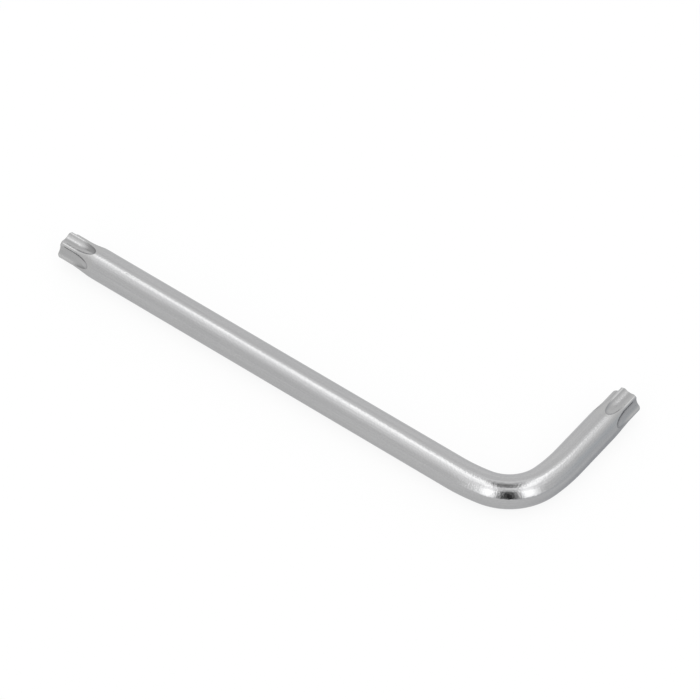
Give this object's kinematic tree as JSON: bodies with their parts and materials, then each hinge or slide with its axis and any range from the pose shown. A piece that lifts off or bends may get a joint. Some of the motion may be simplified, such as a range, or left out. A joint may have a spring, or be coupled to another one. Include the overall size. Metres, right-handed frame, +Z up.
{
  "type": "star key",
  "caption": "L-shaped star key bent from round steel bar, with a six-lobe star formed on the end of the long arm and of the short arm.",
  "frame": {"origin": "middle of the key's box, on the surface that it lies on", "axes": "+X along the long arm from its star to the bend, +Y along the short arm from the bend to its star, +Z up from the surface"},
  "size_m": [0.1216, 0.0406, 0.007],
  "materials": {
    "bar": "bright satin nickel plate over drawn steel",
    "star": "bright satin nickel plate over formed steel"
  },
  "bodies": {
    "root": {"long_tip": "star", "long_neck": "star", "long_arm": "bar", "bend": "bar", "short_arm": "bar", "short_neck": "star", "short_tip": "star"}
  },
  "joints": []
}
